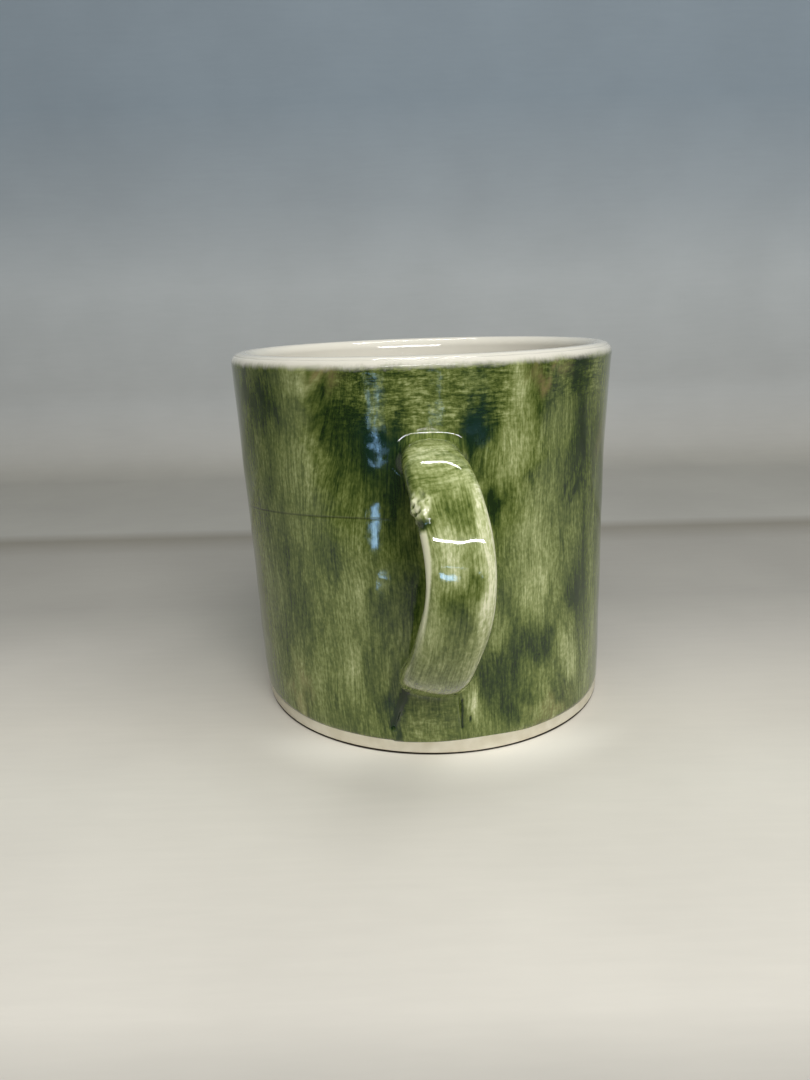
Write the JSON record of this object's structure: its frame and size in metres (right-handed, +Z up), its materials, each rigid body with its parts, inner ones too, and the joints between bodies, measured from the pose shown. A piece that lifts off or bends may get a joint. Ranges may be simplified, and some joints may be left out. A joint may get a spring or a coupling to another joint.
{
  "type": "ceramic mug",
  "caption": "Hand-built straight-sided ceramic mug with a strap handle, a brushed green glazed outside and a cream glazed inside.",
  "frame": {"origin": "centre of the mug's foot, on the plane it stands on", "axes": "+Z up, -Y out along the handle, +X to the right when the handle points at the viewer"},
  "size_m": [0.0915, 0.1202, 0.0882],
  "materials": {
    "bare_clay": "matte",
    "handle_clay": "matte",
    "green_glaze": "gloss",
    "cream_glaze": "gloss"
  },
  "bodies": {
    "root": {"base_slab": "bare_clay", "wall_slab": "bare_clay", "floor_coil": "bare_clay", "handle_strap": "handle_clay", "handle_upper_root": "handle_clay", "handle_lower_root": "handle_clay", "wall_glaze": "green_glaze", "handle_glaze": "green_glaze", "liner_glaze": "cream_glaze"}
  },
  "joints": []
}
